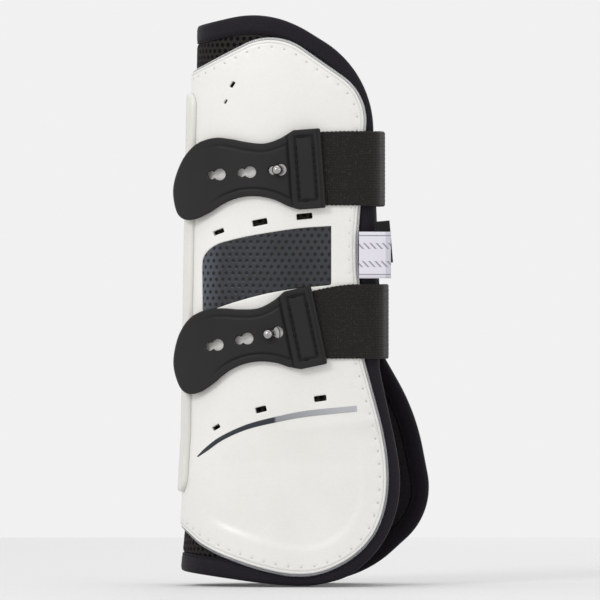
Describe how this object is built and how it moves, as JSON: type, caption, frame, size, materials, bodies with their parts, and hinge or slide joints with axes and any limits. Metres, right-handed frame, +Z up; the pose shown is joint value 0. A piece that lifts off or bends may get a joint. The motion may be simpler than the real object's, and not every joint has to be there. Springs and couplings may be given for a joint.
{
  "type": "tendon boot",
  "caption": "Open-front tendon boot with a moulded shell over a bound neoprene liner, closed by elastic straps whose rubber tabs hook over ball studs.",
  "frame": {"origin": "on the ground under the middle of the boot's bounding box", "axes": "+Z up the leg, +X towards the boot's open front, -Y towards the outer (lateral) side that carries the studs"},
  "size_m": [0.1276, 0.0816, 0.2848],
  "materials": {
    "shell_tpu": "satin moulded, warm white",
    "window_tpu": "smoky translucent inlay with small dark dots",
    "accent_foil": "satin, silver fading to near black",
    "clear_tpu": "translucent, glossy",
    "neoprene": "perforated knit-faced foam",
    "lining_fabric": "brushed knit",
    "binding_tape": "fine ribbed stretch tape",
    "label_fabric": "woven satin",
    "label_backing": "woven satin",
    "stud_metal": "polished",
    "elastic_webbing": "ribbed elastic",
    "strap_rubber": "satin moulded"
  },
  "bodies": {
    "boot": {"outer_shell": "shell_tpu", "window_inlay": "window_tpu", "accent_line": "accent_foil", "clear_rim": "clear_tpu", "spine_cover": "shell_tpu", "neoprene_liner": "neoprene", "inner_lining": "lining_fabric", "tendon_pad": "lining_fabric", "binding_lateral": "binding_tape", "binding_medial": "binding_tape", "woven_label": "label_fabric", "folded_label": "label_backing", "upper_stud": "stud_metal", "upper_washer": "stud_metal", "lower_stud": "stud_metal", "lower_washer": "stud_metal", "upper_anchor": "elastic_webbing", "lower_anchor": "elastic_webbing"},
    "upper_strap": {"upper_elastic": "elastic_webbing"},
    "upper_pull_tab": {"upper_tab": "strap_rubber"},
    "lower_strap": {"lower_elastic": "elastic_webbing"},
    "lower_pull_tab": {"lower_tab": "strap_rubber"}
  },
  "joints": [
    {"name": "upper_swing", "type": "hinge", "parent": "boot", "child": "upper_strap", "pos_m": [0.03031, 0.03536, 0.2081], "axis": [0, 0, 1], "range_deg": [0, 105]},
    {"name": "upper_pull", "type": "slide", "parent": "upper_strap", "child": "upper_pull_tab", "axis": [-0.9973, 0, -0.0732], "range_m": [0, 0.0017], "stiffness_N_per_m": 400},
    {"name": "lower_swing", "type": "hinge", "parent": "boot", "child": "lower_strap", "pos_m": [0.03031, 0.03593, 0.1313], "axis": [0, 0, 1], "range_deg": [0, 105]},
    {"name": "lower_pull", "type": "slide", "parent": "lower_strap", "child": "lower_pull_tab", "axis": [-0.9781, 0, -0.2079], "range_m": [0, 0.0048], "stiffness_N_per_m": 400}
  ]
}
